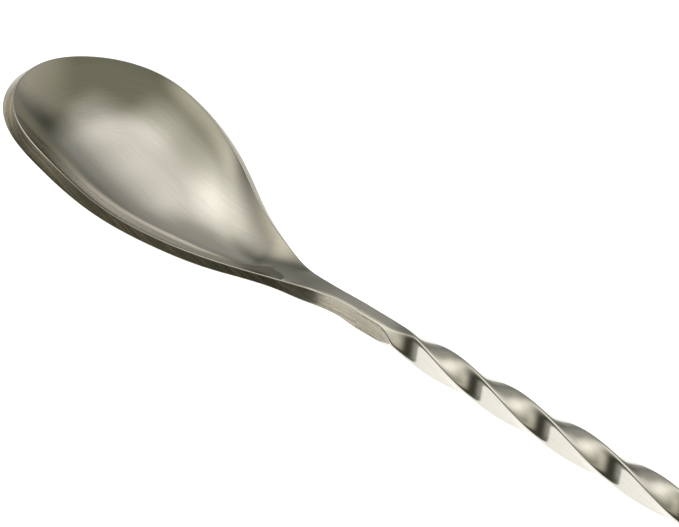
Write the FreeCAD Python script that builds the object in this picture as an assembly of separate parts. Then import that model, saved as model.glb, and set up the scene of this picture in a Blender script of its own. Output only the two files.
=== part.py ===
import FreeCAD, Part
import math
import os

# Long bar spoon: a thick dished bowl on a slim neck, a twisted square stem
# and a teardrop weight at the far end.  All sizes are in millimetres.
#
# The spoon lies bowl upwards.  +X runs from the bowl's tip to the weight,
# +Y is to the left of someone looking along +X, and +Z is up.  The origin is
# halfway along the spoon, on its centre plane, on the surface it lies on.

# ---- driving dimensions ---------------------------------------------------
axis_height = 4.24           # the stem's axis above the surface

# Bowl and neck.  Distances are measured from the bowl's tip, which is the
# foremost point of its upper edge.
neck_end = 66.4              # the neck's square end, where the stem starts
edge_overhang = 1.876        # the flared cut edge reaches this far past the tip
wall_slope = 1.15            # rise over run of the dish at its rim
floor_softening = 0.05       # how quickly the dish flattens towards its floor
hollow_fade = (44.0, 58.0)   # the hollow runs out between these distances
under_fade = (38.0, 56.0)    # and the bulge under it between these

# Neck's end and stem's start.  The neck is pressed flat on its top, bottom
# and sides, but two faces of the twisted bar stay on it as narrow facets.
neck_width = 2.3
neck_height = 2.76
facet_start = 57.5           # the top facet can begin this far from the tip
under_facet_start = 61.8     # and the bottom one this far
facet_half = 1.31            # half the bar's size where the facets begin
neck_bar_half = 1.52         # and at the neck's end
side_flare = (3.5, 11.5)     # along the stem, the pressed sides flare out and
top_flare = (5.0, 16.0)      # run out on the bar here, the top and bottom here
socket_radius = 0.65
socket_depth = 6.2
tenon_length = 6.0

# Twisted square stem
bar_width = 3.25             # across the flats
bar_corner = 0.43            # rounding of the bar's four edges
swell_length = 11.0          # the bar grows to full size over this length
full_turn = 45.0             # length of one whole turn of the twist
turns = 4.5
start_turn = 20.0            # the bar is already turned by this at the neck
start_ramp = 10.6            # the twist builds up over this length
end_ramp = 5.6               # and dies away over this one
straight_end = 4.0           # untwisted length before the weight

# Teardrop weight
weight_radius = 4.24         # so the spoon lies level
weight_mouth_radius = 2.35
weight_taper_length = 17.0
weight_bore_radius = 1.5
weight_bore_depth = 9.2
weight_tenon_length = 9.0
weight_mouth_slope = 0.05    # the taper leaves the mouth at this slope
weight_taper_bulge = 0.12    # and is this much fuller than a cone halfway

# How the shapes are made.  Faces and cutting blocks are larger than the piece
# and are trimmed to it.
under_reach = (-1.9, neck_end + 1.0)  # from and to, along the bowl
under_margin = 2.8           # past the outline
upper_reach = (-2.2, neck_end + 1.5)
upper_margin = 3.2
face_rows = 47               # points along a face
face_columns = 15            # and across it
edge_points = 81             # points along the cut edge
edge_run_out = 2.0           # the edge's cutting strip goes past the neck's end,
edge_spare = 0.7             # past the metal on both sides
edge_depth = 1.1             # and is this many thicknesses deep
block_size = 60.0            # more than the bowl's width and height
section_spacing = 2.0        # between the stem's sections
tenon_root = 0.5             # the tenons start this far inside the bar

twist_lag = start_ramp / 2 - start_turn / 360 * full_turn
stem_length = turns * full_turn + twist_lag + end_ramp / 2 + straight_end
weight_length = weight_taper_length + weight_radius
overall_length = edge_overhang + neck_end + stem_length + weight_length
tip_x = edge_overhang - overall_length / 2
stem_start_x = tip_x + neck_end
weight_mouth_x = stem_start_x + stem_length


def smooth_curve(stations):
    """A smooth curve through (distance, value) stations."""
    curve = Part.BSplineCurve()
    points = [FreeCAD.Vector(d, v, 0) for d, v in stations]
    curve.interpolate(Points=points, Parameters=[d for d, v in stations])
    return curve


def value_at(curve, distance):
    return curve.value(distance).y


def slope_at(curve, distance):
    step = 0.01
    rise = value_at(curve, distance + step) - value_at(curve, distance - step)
    return rise / (2 * step)


def smooth_step(value, start, end):
    """0 before start, 1 after end, with a soft ramp between."""
    u = min(max((value - start) / (end - start), 0.0), 1.0)
    return u * u * (3 - 2 * u)


# Half width of the top outline, by distance from the tip.  The square of the
# half width is what runs smoothly through the rounded tip, so that is what
# is stored.  It goes negative just past the tip.
half_widths = [
    (4.4, 9.05), (10.4, 12.58), (18.4, 13.5), (27.4, 12.25), (36.4, 8.75),
    (44.4, 5.65), (51.4, 3.03), (57.4, 1.66), (62.4, 1.17),
    (neck_end, neck_width / 2), (neck_end + 4, neck_width / 2),
]
tip_rate = half_widths[0][1] ** 2 / half_widths[0][0]
width_squared = smooth_curve(
    [(-5.0, -5.0 * tip_rate), (0.0, 0.0)]
    + [(d, w * w) for d, w in half_widths]
)

# Height of the top edge above the stem's axis: the tip sweeps up.
edge_height = smooth_curve([
    (-5.0, 11.7), (0.0, 10.85), (8.4, 9.4), (18.4, 6.95), (28.4, 3.25),
    (37.4, 0.75), (46.4, 0.13), (54.4, 0.4), (60.4, 1.12),
    (neck_end, neck_height / 2), (neck_end + 4, neck_height / 2),
])

# Thickness of the metal, square to its surface.
thickness = smooth_curve([
    (-5.0, 2.4), (0.0, 2.3), (10.4, 1.95), (20.4, 1.74), (32.4, 1.34),
    (44.4, 1.34), (52.4, 1.26), (60.4, 2.0),
    (neck_end, neck_height), (neck_end + 4, neck_height),
])

# How far the cut edge leans outward as it goes down, in degrees.
edge_lean = (
    (0.0, 52.0), (16.0, 42.0), (34.0, 42.0), (48.0, 32.0),
    (56.0, 32.0), (64.0, 0.0),
)


def rim_measure(d, y):
    """How far a point is outside the top outline; negative inside it."""
    square = value_at(width_squared, d)
    return (y * y - square) / outline_steepness(d)


def outline_steepness(d):
    square = value_at(width_squared, d)
    rate = slope_at(width_squared, d)
    return math.sqrt(rate * rate + 4 * max(square, 0.0))


def dish_height(d, y, fade):
    """Height of the dish above the stem's axis, fading out on the neck."""
    outside = rim_measure(d, y)
    rise = wall_slope * outside
    if outside < 0:
        rise = rise + floor_softening * outside * outside
    depth_left = 1 - smooth_step(d, fade[0], fade[1])
    return value_at(edge_height, d) + depth_left * rise


def upper_height(d, y):
    return dish_height(d, y, hollow_fade)


def under_height(d, y):
    """Height of the underside: the dish moved down by the thickness."""
    step = 0.02
    ahead = dish_height(d + step, y, under_fade)
    behind = dish_height(d - step, y, under_fade)
    left = dish_height(d, y + step, under_fade)
    right = dish_height(d, y - step, under_fade)
    along = (ahead - behind) / (2 * step)
    across = (left - right) / (2 * step)
    stretch = math.sqrt(1 + along * along + across * across)
    middle = dish_height(d, y, under_fade)
    return middle - value_at(thickness, d) * stretch


def spaced(start, end, count):
    return [start + (end - start) * i / (count - 1) for i in range(count)]


def height_face(height, ends, margin):
    """A smooth face that reaches past the outline by the margin."""
    start, end = ends
    grid = []
    for d in spaced(start, end, face_rows):
        square = value_at(width_squared, d)
        reach = math.sqrt(square + margin * outline_steepness(d))
        row = []
        for y in spaced(-reach, reach, face_columns):
            row.append(FreeCAD.Vector(d, y, height(d, y)))
        grid.append(row)
    surface = Part.BSplineSurface()
    surface.interpolate(grid)
    return surface.toShape()


def lean_at(d):
    """Lean of the cut edge, in degrees, easing from one value to the next."""
    lean = edge_lean[0][1]
    for (start, before), (end, after) in zip(edge_lean, edge_lean[1:]):
        lean += (after - before) * smooth_step(d, start, end)
    return lean


def rim_point(t):
    """A point of the top outline and the direction down the cut edge."""
    d = (neck_end + edge_run_out) * t * t
    half = math.sqrt(max(value_at(width_squared, d), 0.0))
    y = math.copysign(half, t)
    steepness = outline_steepness(d)
    lean = math.radians(lean_at(d))
    down = FreeCAD.Vector(
        -slope_at(width_squared, d) / steepness * math.sin(lean),
        2 * y / steepness * math.sin(lean),
        -math.cos(lean))
    return FreeCAD.Vector(d, y, value_at(edge_height, d)), down


def edge_band():
    """The cut edge of the metal: a strip that leans out as it goes down."""
    params = spaced(-1, 1, edge_points)
    upper = []
    lower = []
    for t in params:
        point, down = rim_point(t)
        depth = edge_depth * value_at(thickness, point.x)
        upper.append(point - down * edge_spare)
        lower.append(point + down * (depth + edge_spare))
    edges = []
    for points in (upper, lower):
        curve = Part.BSplineCurve()
        curve.interpolate(Points=points, Parameters=params)
        edges.append(curve.toShape())
    return Part.makeRuledSurface(edges[0], edges[1])


def over_facet(turn, start):
    """What lies outside a face of the turned bar, from start to neck_end."""
    along = neck_end - facet_start
    rise = math.degrees(math.atan((neck_bar_half - facet_half) / along))
    size = 2 * bar_width
    waste = Part.makeBox(
        2 * along, size, size,
        FreeCAD.Vector(start - facet_start, -size / 2, 0))
    waste.rotate(FreeCAD.Vector(0, 0, 0), FreeCAD.Vector(0, 1, 0), -rise)
    waste.translate(FreeCAD.Vector(facet_start, 0, facet_half))
    waste.rotate(FreeCAD.Vector(0, 0, 0), FreeCAD.Vector(1, 0, 0), turn)
    return waste


def bowl():
    """Dished bowl and neck in one piece, with a socket in the neck's end.

    The lowest spot of the underside is rubbed flat where the bowl rests.
    """
    up = FreeCAD.Vector(0, 0, block_size)
    body = height_face(under_height, under_reach, under_margin).extrude(up)
    hollow = height_face(upper_height, upper_reach, upper_margin).extrude(up)
    pieces = body.cut(hollow).generalFuse([edge_band()])[0].Solids
    middle = neck_end / 3
    in_metal = under_height(middle, 0) + value_at(thickness, middle) / 3
    inside_point = FreeCAD.Vector(middle, 0, in_metal)
    chosen = [p for p in pieces if p.isInside(inside_point, 0.01, True)]
    # The neck ends squarely, and nothing reaches below the surface.
    room = Part.makeBox(
        block_size + neck_end, block_size, block_size,
        FreeCAD.Vector(-block_size, -block_size / 2, -axis_height))
    blade = chosen[0].common(room)
    blade = blade.cut(over_facet(start_turn, facet_start))
    blade = blade.cut(over_facet(start_turn + 180, under_facet_start))
    socket = Part.makeCylinder(
        socket_radius, socket_depth,
        FreeCAD.Vector(neck_end - socket_depth, 0, 0), FreeCAD.Vector(1, 0, 0))
    blade = blade.cut(socket)
    blade.translate(FreeCAD.Vector(tip_x, 0, axis_height))
    return blade


def twist_angle(x):
    """Turn of the square section, in degrees, x from the stem's start."""
    rate = 360.0 / full_turn
    twist_stop = stem_length - straight_end
    if x < start_ramp:
        return start_turn + rate * x * x / (2 * start_ramp)
    if x > twist_stop:
        return turns * 360.0
    if x > twist_stop - end_ramp:
        rest = twist_stop - x
        return turns * 360.0 - rate * rest * rest / (2 * end_ramp)
    return rate * (x - twist_lag)


def bar_section(x):
    """The stem's rounded square section, x from the stem's start."""
    grown = smooth_step(x, 0.0, swell_length)
    half_w = bar_width / 2
    half_h = neck_bar_half + grown * (half_w - neck_bar_half)
    bulge = bar_corner * (1 - math.sqrt(0.5))
    edges = []
    for quarter in range(4):
        turn = math.radians(90 * quarter)
        a, b = (half_w, half_h) if quarter % 2 == 0 else (half_h, half_w)
        flat = [(a, bar_corner - b), (a, b - bar_corner)]
        arc = [flat[1], (a - bulge, b - bulge), (a - bar_corner, b)]
        flat = [turned(x, p, turn) for p in flat]
        arc = [turned(x, p, turn) for p in arc]
        edges.append(Part.makeLine(flat[0], flat[1]))
        edges.append(Part.Arc(arc[0], arc[1], arc[2]).toShape())
    wire = Part.Wire(edges)
    axis = FreeCAD.Vector(1, 0, 0)
    wire.rotate(FreeCAD.Vector(x, 0, 0), axis, twist_angle(x))
    return wire


def pressed_section(x):
    """The rectangle that the bar is pressed into, x from the stem's start."""
    flare = smooth_step(x, side_flare[0], side_flare[1])
    half_w = neck_width / 2 + flare * (bar_width - neck_width / 2)
    flare = smooth_step(x, top_flare[0], top_flare[1])
    half_h = neck_height / 2 + flare * (bar_width - neck_height / 2)
    corners = [(half_w, half_h), (-half_w, half_h), (-half_w, -half_h),
               (half_w, -half_h), (half_w, half_h)]
    return Part.makePolygon([FreeCAD.Vector(x, y, z) for y, z in corners])


def pressed_away():
    """What the press takes off the twisted bar where it meets the neck."""
    length = top_flare[1]
    stations = spaced(0, length, int(length) + 1)
    inside = Part.makeLoft([pressed_section(x) for x in stations], True, False)
    size = 4 * bar_width
    corner = FreeCAD.Vector(0, -size / 2, -size / 2)
    return Part.makeBox(length, size, size, corner).cut(inside)


def turned(x, point, turn):
    """A section point turned about the stem's axis."""
    y = point[0] * math.cos(turn) - point[1] * math.sin(turn)
    z = point[0] * math.sin(turn) + point[1] * math.cos(turn)
    return FreeCAD.Vector(x, y, z)


def twisted_stem():
    """Square bar, drawn down and untwisted at the neck, with end tenons."""
    count = int(round(stem_length / section_spacing)) + 1
    sections = [bar_section(x) for x in spaced(0, stem_length, count)]
    bar = Part.makeLoft(sections, True, False).cut(pressed_away())
    along = FreeCAD.Vector(1, 0, 0)
    front = Part.makeCylinder(
        socket_radius, tenon_length + tenon_root,
        FreeCAD.Vector(-tenon_length, 0, 0), along)
    rear = Part.makeCylinder(
        weight_bore_radius, weight_tenon_length + tenon_root,
        FreeCAD.Vector(stem_length - tenon_root, 0, 0), along)
    stem = bar.fuse([front, rear])
    stem.translate(FreeCAD.Vector(stem_start_x, 0, axis_height))
    return stem


def teardrop_weight():
    """Turned weight with a round end and a blind bore for the stem."""
    taper = Part.BSplineCurve()
    start = FreeCAD.Vector(0, weight_mouth_radius, 0)
    middle_r = (weight_mouth_radius + weight_radius) / 2
    middle = FreeCAD.Vector(
        weight_taper_length / 2, middle_r + weight_taper_bulge, 0)
    widest = FreeCAD.Vector(weight_taper_length, weight_radius, 0)
    taper.interpolate(
        Points=[start, middle, widest],
        InitialTangent=FreeCAD.Vector(1, weight_mouth_slope, 0),
        FinalTangent=FreeCAD.Vector(1, 0, 0))
    round_x = weight_taper_length + weight_radius * math.sqrt(0.5)
    round_end = Part.Arc(
        widest,
        FreeCAD.Vector(round_x, weight_radius * math.sqrt(0.5), 0),
        FreeCAD.Vector(weight_length, 0, 0))
    centre = FreeCAD.Vector(0, 0, 0)
    outline = Part.Wire([
        Part.makeLine(centre, start),
        taper.toShape(),
        round_end.toShape(),
        Part.makeLine(FreeCAD.Vector(weight_length, 0, 0), centre),
    ])
    along = FreeCAD.Vector(1, 0, 0)
    weight = Part.Face(outline).revolve(centre, along, 360)
    bore = Part.makeCylinder(
        weight_bore_radius, weight_bore_depth, centre, along)
    weight = weight.cut(bore)
    weight.translate(FreeCAD.Vector(weight_mouth_x, 0, axis_height))
    return weight


parts = {
    "bowl": bowl,
    "twisted_stem": twisted_stem,
    "teardrop_weight": teardrop_weight,
}
os.makedirs("parts", exist_ok=True)
for name, make in parts.items():
    shape = make()
    solid = shape.Solids[0]
    solid.exportStep("parts/" + name + ".step")
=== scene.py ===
import math

import bmesh
import bpy
import numpy as np
from mathutils import Matrix, Vector


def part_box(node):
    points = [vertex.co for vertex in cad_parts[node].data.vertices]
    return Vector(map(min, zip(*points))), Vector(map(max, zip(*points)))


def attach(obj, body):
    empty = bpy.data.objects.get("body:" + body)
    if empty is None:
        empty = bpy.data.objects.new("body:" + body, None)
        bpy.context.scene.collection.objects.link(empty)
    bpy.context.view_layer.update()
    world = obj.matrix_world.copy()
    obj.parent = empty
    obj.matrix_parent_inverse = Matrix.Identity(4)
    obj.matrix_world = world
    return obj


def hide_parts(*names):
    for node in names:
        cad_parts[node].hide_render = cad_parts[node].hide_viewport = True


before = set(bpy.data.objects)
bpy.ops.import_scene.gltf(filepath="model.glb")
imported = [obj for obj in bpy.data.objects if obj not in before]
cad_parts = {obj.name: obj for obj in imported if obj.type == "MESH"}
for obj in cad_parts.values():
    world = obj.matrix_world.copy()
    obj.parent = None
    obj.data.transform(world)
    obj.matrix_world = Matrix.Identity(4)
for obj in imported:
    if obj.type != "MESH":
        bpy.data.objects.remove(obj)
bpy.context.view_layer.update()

# Long bar spoon lying bowl upwards on a pale studio floor.  The shapes are
# worked out in millimetres from the same driving dimensions as the solids,
# and scaled to metres when each mesh is made.
MM = 0.001

# ---- the spoon's driving dimensions, mm -----------------------------------
AXIS_HEIGHT = 4.24           # the stem's axis above the floor

# Bowl and neck, by distance from the bowl's tip
NECK_END = 66.4
WALL_SLOPE = 1.15            # rise over run of the dish at its rim
FLOOR_SOFTENING = 0.05       # how quickly the dish flattens towards its floor
HOLLOW_FADE = (44.0, 58.0)   # the hollow runs out between these distances
UNDER_FADE = (38.0, 56.0)    # and the bulge under it between these
EDGE_LEAN = (                # the cut edge's lean, in degrees
    (0.0, 52.0), (16.0, 42.0), (34.0, 42.0), (48.0, 32.0),
    (56.0, 32.0), (64.0, 0.0),
)
NECK_WIDTH = 2.3
NECK_HEIGHT = 2.76
FACET_START = 57.5           # the bar's faces can show on the neck from here
FACET_HALF = 1.31            # half the bar's size there
NECK_BAR_HALF = 1.52         # and at the neck's end

# Twisted bar
BAR_WIDTH = 3.25             # across the flats
SWELL_LENGTH = 11.0          # the bar grows to full size over this length
FULL_TURN = 45.0             # length of one whole turn of the twist
TURNS = 4.5
START_TURN = 20.0            # the bar is already turned by this at the neck
START_RAMP = 10.6            # the twist builds up over this length
END_RAMP = 5.6               # and dies away over this one
STRAIGHT_END = 4.0           # untwisted length before the weight
SIDE_FLARE = (3.5, 11.5)     # along the stem, the pressed sides flare out and
TOP_FLARE = (5.0, 16.0)      # run out on the bar here, the top and bottom here

# Teardrop weight
WEIGHT_RADIUS = 4.24
WEIGHT_MOUTH_RADIUS = 2.35
WEIGHT_TAPER = 17.0
WEIGHT_BULGE = 0.12          # fuller than a cone by this much, halfway

TWIST_LAG = START_RAMP / 2 - START_TURN / 360 * FULL_TURN
STEM_LENGTH = TURNS * FULL_TURN + TWIST_LAG + END_RAMP / 2 + STRAIGHT_END
WEIGHT_LENGTH = WEIGHT_TAPER + WEIGHT_RADIUS
WEIGHT_END_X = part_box("teardrop_weight")[1][0] / MM
WEIGHT_MOUTH_X = WEIGHT_END_X - WEIGHT_LENGTH
STEM_START_X = WEIGHT_MOUTH_X - STEM_LENGTH
TIP_X = STEM_START_X - NECK_END

# ---- the visible surface --------------------------------------------------
LIP_ROUND = 0.14             # rounding of the cut edge's upper corner, mm
HEEL_ROUND = 0.14            # and of its lower one
RIDGE_ROUND = 0.04           # of the ridges beside the neck's facets
MOUTH_ROUND = 0.25           # and of the weight's mouth
BAR_SHARPNESS = 9            # exponent of the bar's rounded square section
PRESS_SHARPNESS = 20         # and of the pressed one
PRESS_SKIN = 0.03            # this near the press's side counts as pressed
ABOVE_ALL = 40.0             # higher than anything on the spoon
MERGE_DISTANCE = 0.0015      # points closer than this become one

# How finely the meshes are divided
BOWL_PROFILES = 360          # round the bowl
FAN_CENTRE = 15.0            # the tip's profiles fan out from here
FAN_STEPS = 36               # points from the keel to the edge
FAN_CROWDING = 1.3           # they crowd towards the edge
LIP_ANGLES = np.radians(np.linspace(15, 90, 6))
HEEL_ANGLES = np.radians(np.linspace(0, 75, 5))
BAND_STATIONS = (0.12, 0.3, 0.5, 0.7, 0.88)  # down the cut edge
BAR_COLUMNS = 192
BAR_FINE_STEP = 0.2          # along the pressed part of the bar, mm
BAR_STEP = 0.5               # and along the rest
WEIGHT_COLUMNS = 72
TAPER_STEPS = 40
END_ANGLES = np.radians(np.linspace(3, 90, 30))

# Lengths round the turned pieces, which the streaks are laid out by, mm
BAR_MEAN_RADIUS = 2.1
WEIGHT_GIRTH = 26.0


def natural_spline(stations):
    """A natural cubic spline through (distance, value) stations."""
    xs = np.array([s[0] for s in stations], float)
    ys = np.array([s[1] for s in stations], float)
    n = len(xs)
    h = np.diff(xs)
    system = np.eye(n)
    right = np.zeros(n)
    for i in range(1, n - 1):
        system[i, i - 1:i + 2] = (h[i - 1], 2 * (h[i - 1] + h[i]), h[i])
        right[i] = 6 * ((ys[i + 1] - ys[i]) / h[i]
                        - (ys[i] - ys[i - 1]) / h[i - 1])
    bend = np.linalg.solve(system, right)

    def curve(x):
        x = np.asarray(x, float)
        i = np.clip(np.searchsorted(xs, x) - 1, 0, n - 2)
        a = (xs[i + 1] - x) / h[i]
        b = (x - xs[i]) / h[i]
        soft = ((a ** 3 - a) * bend[i] + (b ** 3 - b) * bend[i + 1])
        return a * ys[i] + b * ys[i + 1] + soft * h[i] ** 2 / 6

    return curve


def smooth_step(value, start, end):
    """0 before start, 1 after end, with a soft ramp between."""
    u = np.clip((np.asarray(value, float) - start) / (end - start), 0, 1)
    return u * u * (3 - 2 * u)


# ---- bowl shape -----------------------------------------------------------
# The curves run on a little past the tip and the neck's end.
#
# Half width of the top outline, by distance from the tip.  Its square is what
# runs smoothly through the rounded tip, so that is what is stored.
HALF_WIDTHS = [
    (4.4, 9.05), (10.4, 12.58), (18.4, 13.5), (27.4, 12.25), (36.4, 8.75),
    (44.4, 5.65), (51.4, 3.03), (57.4, 1.66), (62.4, 1.17),
    (NECK_END, NECK_WIDTH / 2), (NECK_END + 4, NECK_WIDTH / 2),
]
TIP_RATE = HALF_WIDTHS[0][1] ** 2 / HALF_WIDTHS[0][0]
width_squared = natural_spline(
    [(-5.0, -5.0 * TIP_RATE), (0.0, 0.0)]
    + [(d, w * w) for d, w in HALF_WIDTHS])

# Height of the upper edge above the stem's axis
edge_height = natural_spline([
    (-5.0, 11.7), (0.0, 10.85), (8.4, 9.4), (18.4, 6.95), (28.4, 3.25),
    (37.4, 0.75), (46.4, 0.13), (54.4, 0.4), (60.4, 1.12),
    (NECK_END, NECK_HEIGHT / 2), (NECK_END + 4, NECK_HEIGHT / 2)])

# Thickness of the metal, square to its surface
thickness = natural_spline([
    (-5.0, 2.4), (0.0, 2.3), (10.4, 1.95), (20.4, 1.74), (32.4, 1.34),
    (44.4, 1.34), (52.4, 1.26), (60.4, 2.0),
    (NECK_END, NECK_HEIGHT), (NECK_END + 4, NECK_HEIGHT)])


def outline(d):
    """Squared half width, its rate, and the length of its gradient."""
    step = 0.01
    square = width_squared(d)
    rate = (width_squared(d + step) - width_squared(d - step)) / (2 * step)
    return square, rate, np.sqrt(rate ** 2 + 4 * np.maximum(square, 0))


def dish_height(d, y, fade):
    """Height of the upper surface above the stem's axis."""
    square, _, steep = outline(d)
    outside = (y * y - square) / steep
    rise = WALL_SLOPE * outside
    rise = rise + FLOOR_SOFTENING * np.minimum(outside, 0) ** 2
    return edge_height(d) + (1 - smooth_step(d, *fade)) * rise


def into_metal(d, y, fade):
    """Unit direction from the dish's surface into the metal."""
    step = 0.02
    along = (dish_height(d + step, y, fade)
             - dish_height(d - step, y, fade)) / (2 * step)
    across = (dish_height(d, y + step, fade)
              - dish_height(d, y - step, fade)) / (2 * step)
    inward = np.stack([along, across, -np.ones_like(along)], -1)
    return inward / np.linalg.norm(inward, axis=-1, keepdims=True)


def down_the_edge(d, y):
    """Unit direction down the cut edge, which leans outward as it falls."""
    _, rate, steep = outline(d)
    lean = EDGE_LEAN[0][1]
    for (start, before), (end, after) in zip(EDGE_LEAN, EDGE_LEAN[1:]):
        lean = lean + (after - before) * smooth_step(d, start, end)
    lean = np.radians(lean)
    return np.stack([-rate / steep * np.sin(lean),
                     2 * y / steep * np.sin(lean), -np.cos(lean)], -1)


def facet_height(d, y):
    """Height of the twisted bar's face that stays on the neck's near top.

    Turned upside down, with y as well, it is the one on the far bottom.
    """
    turn = math.radians(START_TURN)
    along = (d - FACET_START) / (NECK_END - FACET_START)
    half = FACET_HALF + along * (NECK_BAR_HALF - FACET_HALF)
    face = (half + y * math.sin(turn)) / math.cos(turn)
    return np.where(d < FACET_START, ABOVE_ALL, face)


def lower_of(a, b):
    """The lower of two heights, with the ridge between them softened."""
    return (a + b - np.sqrt((a - b) ** 2 + RIDGE_ROUND ** 2)) / 2


def unit(v):
    """The vectors of v, each scaled to a length of 1."""
    return v / np.maximum(np.linalg.norm(v, axis=-1, keepdims=True), 1e-9)


def make_mesh(name, points_mm, faces, face_slots, uvs, materials, origin):
    """A smooth shaded mesh object from millimetre points."""
    points = (points_mm + np.array(origin)) * MM
    mesh = bpy.data.meshes.new(name)
    mesh.from_pydata(points.tolist(), [], faces)
    mesh.polygons.foreach_set("use_smooth", [True] * len(mesh.polygons))
    mesh.polygons.foreach_set("material_index", face_slots)
    layer = mesh.uv_layers.new(name="run")
    loop_vertices = np.zeros(len(mesh.loops), dtype=np.int64)
    mesh.loops.foreach_get("vertex_index", loop_vertices)
    layer.data.foreach_set("uv", uvs[loop_vertices].astype(float).ravel())
    for material in materials:
        mesh.materials.append(material)
    mesh.update()
    piece = bpy.data.objects.new(name, mesh)
    bpy.context.scene.collection.objects.link(piece)
    return piece


def cut_edge(d, y, inner):
    """The cut edge with its two rounded corners, from lip to heel.

    d and y follow the rim, and inner holds the upper surface's outermost
    points.  Returns the columns of points down the edge, its sharp lower
    outline and the directions from the edge back into the bowl.
    """
    rim = np.stack([d, y, edge_height(d)], -1)
    down = down_the_edge(d, y)
    square_in = into_metal(d, y, UNDER_FADE)
    lean_in = (down * square_in).sum(-1, keepdims=True)
    outer = rim + down * thickness(d)[:, None] / lean_in
    rim[:, 2] = lower_of(rim[:, 2], facet_height(d, y))
    outer[:, 2] = -lower_of(-outer[:, 2], facet_height(d, -y))
    back = unit(inner - rim)
    back = unit(back - down * (back * down).sum(-1, keepdims=True))

    lip_centre = rim + LIP_ROUND * (back + down)
    heel_centre = outer + HEEL_ROUND * (back - down)
    band_start = rim + LIP_ROUND * down
    band_end = outer - HEEL_ROUND * down
    strip = []
    for a in LIP_ANGLES:
        strip.append(lip_centre - LIP_ROUND
                     * (math.cos(a) * down + math.sin(a) * back))
    for share in BAND_STATIONS:
        strip.append(band_start + (band_end - band_start) * share)
    for a in HEEL_ANGLES:
        strip.append(heel_centre + HEEL_ROUND
                     * (math.sin(a) * down - math.cos(a) * back))
    return np.stack(strip, 1), outer, back


def bowl_profiles():
    """Profiles from the keel out over the cut edge and back underneath.

    Returns the points, one row for each profile, and the cut edge's lower
    outline.
    """
    t = np.linspace(-1, 1, BOWL_PROFILES + 1)
    d_rim = NECK_END * t * t
    y_rim = np.copysign(np.sqrt(np.maximum(width_squared(d_rim), 0)), t)
    d_keel = np.maximum(d_rim, FAN_CENTRE)
    ray = np.hypot(d_rim - d_keel, y_rim)
    rho = 1 - (1 - np.linspace(0, 1, FAN_STEPS)) ** FAN_CROWDING
    share = rho[None, :] * (1 - LIP_ROUND / ray)[:, None]
    d = d_keel[:, None] + (d_rim - d_keel)[:, None] * share
    y = y_rim[:, None] * share
    top = lower_of(dish_height(d, y, HOLLOW_FADE), facet_height(d, y))
    upper = np.stack([d, y, top], -1)
    under = np.stack([d, y, dish_height(d, y, UNDER_FADE)], -1)
    lower = under + into_metal(d, y, UNDER_FADE) * thickness(d)[..., None]

    strip, outer, back = cut_edge(d_rim, y_rim, upper[:, -1])
    # The underside is drawn out to meet the cut edge's lower corner.
    slide = outer + HEEL_ROUND * back - lower[:, -1]
    lower += slide[:, None] * (rho ** 3)[None, :, None]
    lower[..., 2] = -lower_of(-lower[..., 2], facet_height(d, -y))
    lower[..., 2] = np.maximum(lower[..., 2], -AXIS_HEIGHT)
    return np.concatenate([upper, strip, lower[:, ::-1]], 1), outer


def lengths_along(points, axis):
    """Running length of polylines of points that follow the given axis."""
    steps = np.linalg.norm(np.diff(points, axis=axis), axis=-1)
    start = np.zeros_like(steps.take([0], axis=axis))
    return np.concatenate([start, np.cumsum(steps, axis=axis)], axis)


def dished_bowl(materials):
    """Bowl and neck, with the cut edge in the second material."""
    profiles, outer = bowl_profiles()
    n_rows, n_cols = profiles.shape[:2]
    band_start = FAN_STEPS - 1 + len(LIP_ANGLES)
    band_end = band_start + len(BAND_STATIONS) + 1
    faces = []
    slots = []
    for i in range(n_rows - 1):
        for j in range(n_cols - 1):
            a = i * n_cols + j
            faces.append((a, a + 1, a + n_cols + 1, a + n_cols))
            # The cut edge's faces get the second material, whose dark colour
            # is painted shade.
            slots.append(1 if band_start <= j < band_end else 0)
    # The first and last profiles are the two halves of the neck's end.
    right_half = list(range(n_cols))
    left_half = [(n_rows - 1) * n_cols + j for j in right_half]
    faces.append(tuple(left_half + right_half[::-1]))
    slots.append(0)
    along = np.repeat(lengths_along(outer, 0), n_cols)
    across = lengths_along(profiles, 1).ravel()
    piece = make_mesh("dished_bowl", profiles.reshape(-1, 3), faces, slots,
                      np.stack([along, across], -1), materials,
                      (TIP_X, 0, AXIS_HEIGHT))
    merge_close(piece)
    return piece


def merge_close(piece):
    """Join points that share a place, and shade the flat caps flat."""
    most_corners = 6             # only the caps' faces have more
    work = bmesh.new()
    work.from_mesh(piece.data)
    bmesh.ops.remove_doubles(work, verts=work.verts, dist=MERGE_DISTANCE * MM)
    bmesh.ops.recalc_face_normals(work, faces=work.faces)
    for face in work.faces:
        if len(face.verts) > most_corners:
            face.smooth = False
            for edge in face.edges:
                edge.smooth = False
    work.to_mesh(piece.data)
    work.free()
    piece.data.update()


def tube_faces(n_rows, n_cols):
    """Faces of a tube whose rows of points run round it."""
    faces = []
    for i in range(n_rows - 1):
        for j in range(n_cols):
            k = (j + 1) % n_cols
            faces.append((i * n_cols + j, i * n_cols + k,
                          (i + 1) * n_cols + k, (i + 1) * n_cols + j))
    return faces


def twist_angle(x):
    """Turn of the square section, in radians, x from the stem's start."""
    rate = 2 * math.pi / FULL_TURN
    stop = STEM_LENGTH - STRAIGHT_END
    total = TURNS * 2 * math.pi
    start = math.radians(START_TURN) + rate * x * x / (2 * START_RAMP)
    angle = np.where(x < START_RAMP, start, rate * (x - TWIST_LAG))
    rest = stop - x
    ending = total - rate * rest * rest / (2 * END_RAMP)
    angle = np.where(x > stop - END_RAMP, ending, angle)
    return np.where(x > stop, total, angle)


def reach(angle, half_a, half_b, sharpness):
    """From the centre to the outline of a rounded rectangle."""
    a = np.abs(np.cos(angle)) / half_a
    b = np.abs(np.sin(angle)) / half_b
    return (a ** sharpness + b ** sharpness) ** (-1 / sharpness)


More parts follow.
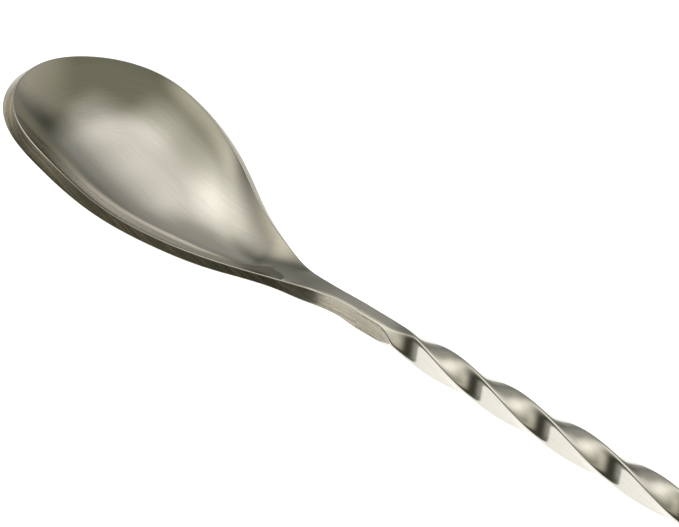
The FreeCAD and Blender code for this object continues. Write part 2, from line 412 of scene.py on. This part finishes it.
def pressed_halves(x):
    """Half the sizes the press leaves, across and upwards."""
    flare = smooth_step(x, *SIDE_FLARE)
    side = NECK_WIDTH / 2 + flare * (BAR_WIDTH - NECK_WIDTH / 2)
    flare = smooth_step(x, *TOP_FLARE)
    top = NECK_HEIGHT / 2 + flare * (BAR_WIDTH - NECK_HEIGHT / 2)
    return side, top


def twisted_bar(materials):
    """The twisted square stem, pressed flat on four sides at the neck."""
    x = np.concatenate([np.arange(0, TOP_FLARE[1], BAR_FINE_STEP),
                        np.arange(TOP_FLARE[1], STEM_LENGTH, BAR_STEP),
                        [STEM_LENGTH]])[:, None]
    local = np.arange(BAR_COLUMNS) * 2 * math.pi / BAR_COLUMNS
    angle = local[None, :] + twist_angle(x)
    grown = smooth_step(x, 0, SWELL_LENGTH)
    half = NECK_BAR_HALF + grown * (BAR_WIDTH / 2 - NECK_BAR_HALF)
    square = reach(local[None, :], BAR_WIDTH / 2, half, BAR_SHARPNESS)
    side, top = pressed_halves(x)
    pressed = reach(angle, side, top, PRESS_SHARPNESS)
    blend = square ** -PRESS_SHARPNESS + pressed ** -PRESS_SHARPNESS
    radius = blend ** (-1 / PRESS_SHARPNESS)
    rows = np.stack([np.broadcast_to(x, radius.shape),
                     radius * np.cos(angle), radius * np.sin(angle)], -1)

    n_rows, n_cols = radius.shape
    faces = tube_faces(n_rows, n_cols)
    # The pressed sides get the second material too, whose dark colour is
    # painted shade.
    on_side = np.abs(rows[:-1, :, 1]) > side[:-1] - PRESS_SKIN
    on_side &= np.roll(on_side, -1, axis=1)
    slots = on_side.astype(int).ravel().tolist()
    faces.append(tuple(range(n_cols)))
    faces.append(tuple((n_rows - 1) * n_cols + j for j in range(n_cols)))
    slots += [0, 0]
    girth = np.broadcast_to(local * BAR_MEAN_RADIUS, radius.shape)
    uvs = np.stack([rows[..., 0].ravel(), girth.ravel()], -1)
    piece = make_mesh("twisted_bar", rows.reshape(-1, 3), faces, slots, uvs,
                      materials, (STEM_START_X, 0, AXIS_HEIGHT))
    merge_close(piece)
    return piece


def weight_profile():
    """The teardrop's outline as (x, radius) points, from mouth to end."""
    flat_radius = WEIGHT_MOUTH_RADIUS - MOUTH_ROUND
    profile = [(0.0, 0.0), (0.0, flat_radius)]
    for a in LIP_ANGLES:
        profile.append((MOUTH_ROUND - MOUTH_ROUND * math.cos(a),
                        flat_radius + MOUTH_ROUND * math.sin(a)))
    # The first and last stations steady the curve past its ends.
    middle_radius = (WEIGHT_MOUTH_RADIUS + WEIGHT_RADIUS) / 2 + WEIGHT_BULGE
    taper = natural_spline([
        (-4.0, WEIGHT_MOUTH_RADIUS - 0.35), (0.0, WEIGHT_MOUTH_RADIUS),
        (WEIGHT_TAPER / 2, middle_radius),
        (WEIGHT_TAPER, WEIGHT_RADIUS), (WEIGHT_TAPER + 2, WEIGHT_RADIUS)])
    for x in np.linspace(2 * MOUTH_ROUND, WEIGHT_TAPER, TAPER_STEPS):
        profile.append((x, min(float(taper(x)), WEIGHT_RADIUS)))
    for a in END_ANGLES:
        profile.append((WEIGHT_TAPER + WEIGHT_RADIUS * math.sin(a),
                        WEIGHT_RADIUS * math.cos(a)))
    return profile


def teardrop(materials):
    """Turned teardrop weight with a softened mouth."""
    profile = weight_profile()
    rows = []
    for x, r in profile:
        for k in range(WEIGHT_COLUMNS):
            a = 2 * math.pi * k / WEIGHT_COLUMNS
            rows.append((x, r * math.cos(a), r * math.sin(a)))
    rows = np.array(rows)
    faces = tube_faces(len(profile), WEIGHT_COLUMNS)
    around = np.arange(WEIGHT_COLUMNS) / WEIGHT_COLUMNS * WEIGHT_GIRTH
    uvs = np.stack([np.tile(around, len(profile)), rows[:, 0]], -1)
    piece = make_mesh("teardrop", rows, faces, [0] * len(faces), uvs,
                      materials, (WEIGHT_MOUTH_X, 0, AXIS_HEIGHT))
    merge_close(piece)
    return piece


# ---- materials ------------------------------------------------------------
STEEL = (0.63, 0.615, 0.57)
# Painted shade: the ground edge's steel is darkened and warmed well below
# STEEL, standing in for the dark, warm surroundings that the edge reflects.
EDGE_STEEL_PAINTED_SHADE = (0.29, 0.27, 0.22)
NOISE_ROUGHNESS = 0.62
NOISE_MIDDLE = 0.5           # the noises vary about this
STREAK_DETAIL = 5.0
CLOUD_SCALE = 110.0          # clouds in the finish, per metre
CLOUD_DETAIL = 3.0
SPECKLE_SCALE = 2600.0       # and fine speckle
SPECKLE_DETAIL = 2.0
STREAK_SHADE = 1.6           # how much the streaks, the clouds and
CLOUD_SHADE = 0.6            # the speckle count in the colour
SPECKLE_SHADE = 0.5


def steel(name, colour, contrast, roughness, streak, streak_rough,
          cloud_rough, depth_mm):
    """Stainless steel worked in streaks that follow the piece.

    streak is how often the streaks change along and across the piece, per
    millimetre.  contrast is how much they change the colour, and the rest
    says how much they change the roughness and the height of the surface.
    """
    material = bpy.data.materials.new(name)
    material.use_nodes = True
    nodes = material.node_tree.nodes
    links = material.node_tree.links
    shader = nodes["Principled BSDF"]
    shader.inputs["Metallic"].default_value = 1.0

    def noise(source, scale, detail):
        node = nodes.new("ShaderNodeTexNoise")
        node.inputs["Scale"].default_value = scale
        node.inputs["Detail"].default_value = detail
        node.inputs["Roughness"].default_value = NOISE_ROUGHNESS
        links.new(source, node.inputs["Vector"])
        return node.outputs["Fac"]

    def math_node(kind, a, b, c=None):
        node = nodes.new("ShaderNodeMath")
        node.operation = kind
        for socket, value in zip(node.inputs, (a, b, c)):
            if isinstance(value, (int, float)):
                socket.default_value = value
            elif value is not None:
                links.new(value, socket)
        return node.outputs[0]

    uv = nodes.new("ShaderNodeUVMap")
    uv.uv_map = "run"
    stretch = nodes.new("ShaderNodeMapping")
    stretch.inputs["Scale"].default_value = (streak[0], streak[1], 1)
    links.new(uv.outputs["UV"], stretch.inputs["Vector"])
    streaks = noise(stretch.outputs["Vector"], 1.0, STREAK_DETAIL)
    place = nodes.new("ShaderNodeTexCoord")
    cloud = noise(place.outputs["Object"], CLOUD_SCALE, CLOUD_DETAIL)
    speckle = noise(place.outputs["Object"], SPECKLE_SCALE, SPECKLE_DETAIL)

    streaks_about = math_node("SUBTRACT", streaks, NOISE_MIDDLE)
    cloud_about = math_node("SUBTRACT", cloud, NOISE_MIDDLE)
    speckle_about = math_node("SUBTRACT", speckle, NOISE_MIDDLE)
    rough = math_node("MULTIPLY_ADD", streaks_about, streak_rough, roughness)
    rough = math_node("MULTIPLY_ADD", cloud_about, cloud_rough, rough)
    links.new(rough, shader.inputs["Roughness"])

    shade = math_node("MULTIPLY_ADD", streaks_about, STREAK_SHADE, 0.5)
    shade = math_node("MULTIPLY_ADD", cloud_about, CLOUD_SHADE, shade)
    shade = math_node("MULTIPLY_ADD", speckle_about, SPECKLE_SHADE, shade)
    tint = nodes.new("ShaderNodeMix")
    tint.data_type = "RGBA"
    darker = [c * (1 - contrast) for c in colour]
    lighter = [c * (1 + contrast) for c in colour]
    tint.inputs["A"].default_value = (*darker, 1)
    tint.inputs["B"].default_value = (*lighter, 1)
    links.new(shade, tint.inputs["Factor"])
    links.new(tint.outputs["Result"], shader.inputs["Base Color"])

    bump = nodes.new("ShaderNodeBump")
    bump.inputs["Strength"].default_value = 1.0
    bump.inputs["Distance"].default_value = depth_mm * MM
    links.new(streaks, bump.inputs["Height"])
    links.new(bump.outputs["Normal"], shader.inputs["Normal"])
    return material


polished = steel(
    "polished_steel", STEEL, contrast=0.06, roughness=0.11,
    streak=(0.12, 3.0), streak_rough=0.03, cloud_rough=0.06,
    depth_mm=0.0003)
# The ground edge's streaks and roughness are real; its dark, warm colour is
# painted shade.
ground_and_shade = steel(
    "ground_edge_painted_shade", EDGE_STEEL_PAINTED_SHADE, contrast=0.75, roughness=0.30,
    streak=(0.05, 2.0), streak_rough=0.20, cloud_rough=0.10,
    depth_mm=0.012)
satin = steel(
    "satin_steel", STEEL, contrast=0.08, roughness=0.15,
    streak=(0.25, 5.0), streak_rough=0.06, cloud_rough=0.08,
    depth_mm=0.0008)

# ---- pieces ---------------------------------------------------------------
bowl = dished_bowl([polished, ground_and_shade])
bar = twisted_bar([satin, ground_and_shade])
weight = teardrop([satin])
for piece, node, slot in ((bowl, "bowl", "polished_bowl"),
                          (bar, "twisted_stem", "brushed_stem"),
                          (weight, "teardrop_weight", "polished_weight")):
    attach(piece, "root")
    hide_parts(node)

# ---- studio ---------------------------------------------------------------
scene = bpy.context.scene
scene.view_settings.view_transform = "Standard"

FLOOR_SIZE = 8.0             # metres
FLOOR_COLOUR = (0.92, 0.92, 0.92, 1)
FLOOR_ROUGHNESS = 0.6
FLOOR_LIGHT = 0.95


def floor():
    """A pale floor, lit from below like a light table."""
    h = FLOOR_SIZE / 2
    mesh = bpy.data.meshes.new("floor")
    mesh.from_pydata([(-h, -h, 0), (h, -h, 0), (h, h, 0), (-h, h, 0)], [],
                     [(0, 1, 2, 3)])
    material = bpy.data.materials.new("pale_floor")
    material.use_nodes = True
    shader = material.node_tree.nodes["Principled BSDF"]
    shader.inputs["Base Color"].default_value = FLOOR_COLOUR
    shader.inputs["Roughness"].default_value = FLOOR_ROUGHNESS
    shader.inputs["Emission Color"].default_value = (1, 1, 1, 1)
    shader.inputs["Emission Strength"].default_value = FLOOR_LIGHT
    mesh.materials.append(material)
    piece = bpy.data.objects.new("floor", mesh)
    scene.collection.objects.link(piece)
    return piece


floor()


class Studio:
    """A dim room with soft boxes in it, all in the world shader."""

    def __init__(self):
        self.world = bpy.data.worlds.new("studio")
        scene.world = self.world
        self.world.use_nodes = True
        self.nodes = self.world.node_tree.nodes
        self.links = self.world.node_tree.links
        place = self.nodes.new("ShaderNodeTexCoord")
        self.direction = place.outputs["Generated"]
        self.total = None

    def dot(self, axis):
        """How far the looked-at direction points along an axis."""
        node = self.nodes.new("ShaderNodeVectorMath")
        node.operation = "DOT_PRODUCT"
        self.links.new(self.direction, node.inputs[0])
        node.inputs[1].default_value = axis
        return node.outputs["Value"]

    def math(self, kind, a, b=0.0):
        """One arithmetic step on sockets or plain numbers."""
        node = self.nodes.new("ShaderNodeMath")
        node.operation = kind
        for socket, value in zip(node.inputs, (a, b)):
            if isinstance(value, (int, float)):
                socket.default_value = value
            else:
                self.links.new(value, socket)
        return node.outputs[0]

    def ramp(self, value, low, high, at_low, at_high):
        """A soft ramp from at_low to at_high."""
        node = self.nodes.new("ShaderNodeMapRange")
        node.interpolation_type = "SMOOTHSTEP"
        self.links.new(value, node.inputs["Value"])
        node.inputs["From Min"].default_value = low
        node.inputs["From Max"].default_value = high
        node.inputs["To Min"].default_value = at_low
        node.inputs["To Max"].default_value = at_high
        return node.outputs["Result"]

    def add(self, strength, colour):
        """Add tinted light to the room."""
        tinted = self.nodes.new("ShaderNodeVectorMath")
        tinted.operation = "SCALE"
        tinted.inputs[0].default_value = colour
        self.links.new(strength, tinted.inputs["Scale"])
        if self.total is None:
            self.total = tinted.outputs["Vector"]
            return
        joined = self.nodes.new("ShaderNodeVectorMath")
        joined.operation = "ADD"
        self.links.new(self.total, joined.inputs[0])
        self.links.new(tinted.outputs["Vector"], joined.inputs[1])
        self.total = joined.outputs["Vector"]

    def soft_box(self, azimuth, elevation, half_size, softness, strength,
                 colour):
        """A glowing rectangle seen in one direction; angles in degrees."""
        a, e = math.radians(azimuth), math.radians(elevation)
        ahead = (math.cos(e) * math.cos(a), math.cos(e) * math.sin(a),
                 math.sin(e))
        side = (-math.sin(a), math.cos(a), 0.0)
        up = tuple(Vector(ahead).cross(Vector(side)))
        forward = self.dot(ahead)
        # Nothing shines from behind, and nothing is divided by 0.
        level = self.ramp(forward, 0.0, 0.1, 0.0, strength)
        front = self.math("MAXIMUM", forward, 0.001)
        for axis, half, soft in zip((side, up), half_size, softness):
            offset = self.math("DIVIDE", self.dot(axis), front)
            offset = self.math("ARCTANGENT", offset)
            offset = self.math("ABSOLUTE", offset)
            inner = math.radians(half - soft / 2)
            outer = math.radians(half + soft / 2)
            mask = self.ramp(offset, inner, outer, 1.0, 0.0)
            level = self.math("MULTIPLY", level, mask)
        self.add(level, colour)

    def finish(self):
        """Light the scene with everything that was added."""
        background = self.nodes["Background"]
        self.links.new(self.total, background.inputs["Color"])
        background.inputs["Strength"].default_value = 1.0


NEUTRAL = (1.0, 0.99, 0.94)
ROSE = (1.0, 0.93, 0.98)
CREAM = (1.0, 0.97, 0.91)
BEIGE = (1.0, 0.94, 0.80)
OLIVE = (1.0, 0.99, 0.73)

# The room's own olive light is stronger overhead than at eye level.  It
# changes where the direction's upward part is between these two.
ROOM_CHANGE = (0.45, 0.85)
ROOM_LIGHT = (0.06, 0.24)

# Azimuth and elevation, half size and softness across and up, all in
# degrees; then strength and colour.  Left and right are the camera's.
SOFT_BOXES = (
    (140, 66, (13, 12), (38, 18), 0.42, ROSE),     # overhead, behind the dish
    (166, 62, (9, 10), (24, 20), 0.34, NEUTRAL),
    (117, 55, (4, 15), (8, 14), 0.26, ROSE),
    (112, 71, (16, 18), (14, 24), 0.16, NEUTRAL),
    (190, 56, (17, 20), (38, 28), 0.92, CREAM),    # main light, on the left
    (130, 42, (18, 18), (12, 18), 0.28, NEUTRAL),  # behind the spoon
    (150, 5, (32, 20), (14, 44), 0.19, NEUTRAL),
    (110, 2, (24, 7), (8, 46), 0.34, NEUTRAL),
    (190, 14, (15, 16), (24, 26), 0.55, BEIGE),    # low on the left
    (184, 10, (14, 12), (20, 20), 0.50, BEIGE),
    (236, 42, (14, 8), (18, 16), 0.50, BEIGE),     # further round to the left
    (232, 3, (18, 8), (16, 16), 0.38, CREAM),
    (51, 20, (38, 24), (26, 44), 0.42, BEIGE),     # low on the right
)
studio = Studio()
height = studio.dot((0, 0, 1))
studio.add(studio.ramp(height, *ROOM_CHANGE, *ROOM_LIGHT), OLIVE)
for box in SOFT_BOXES:
    studio.soft_box(*box)
studio.finish()

# ---- camera ---------------------------------------------------------------
CAMERA_AZIMUTH = -45.0      # where the camera stands, round from +X
CAMERA_ELEVATION = 31.04
CAMERA_ROLL = 3.09
CAMERA_DISTANCE = 0.32126   # metres
CAMERA_LENS = 127.25
SENSOR_WIDTH = 36.0
AIM_PAST_TIP = 54.86        # it looks at a point this far along from the tip
AIM_ASIDE = 6.84            # and this far from the centre plane, mm
CAMERA_AIM = Vector((TIP_X + AIM_PAST_TIP, AIM_ASIDE, AXIS_HEIGHT)) * MM


def camera():
    """The camera, turned to its aim and then rolled."""
    data = bpy.data.cameras.new("camera")
    data.lens = CAMERA_LENS
    data.sensor_width = SENSOR_WIDTH
    data.clip_start = 0.01
    holder = bpy.data.objects.new("camera", data)
    azimuth = math.radians(CAMERA_AZIMUTH)
    elevation = math.radians(CAMERA_ELEVATION)
    back = Vector((math.cos(elevation) * math.cos(azimuth),
                   math.cos(elevation) * math.sin(azimuth),
                   math.sin(elevation)))
    turn = (-back).to_track_quat("-Z", "Y").to_matrix().to_4x4()
    roll = Matrix.Rotation(math.radians(CAMERA_ROLL), 4, "Z")
    holder.matrix_world = (
        Matrix.Translation(CAMERA_AIM + back * CAMERA_DISTANCE) @ turn @ roll)
    scene.collection.objects.link(holder)
    return holder


scene.camera = camera()
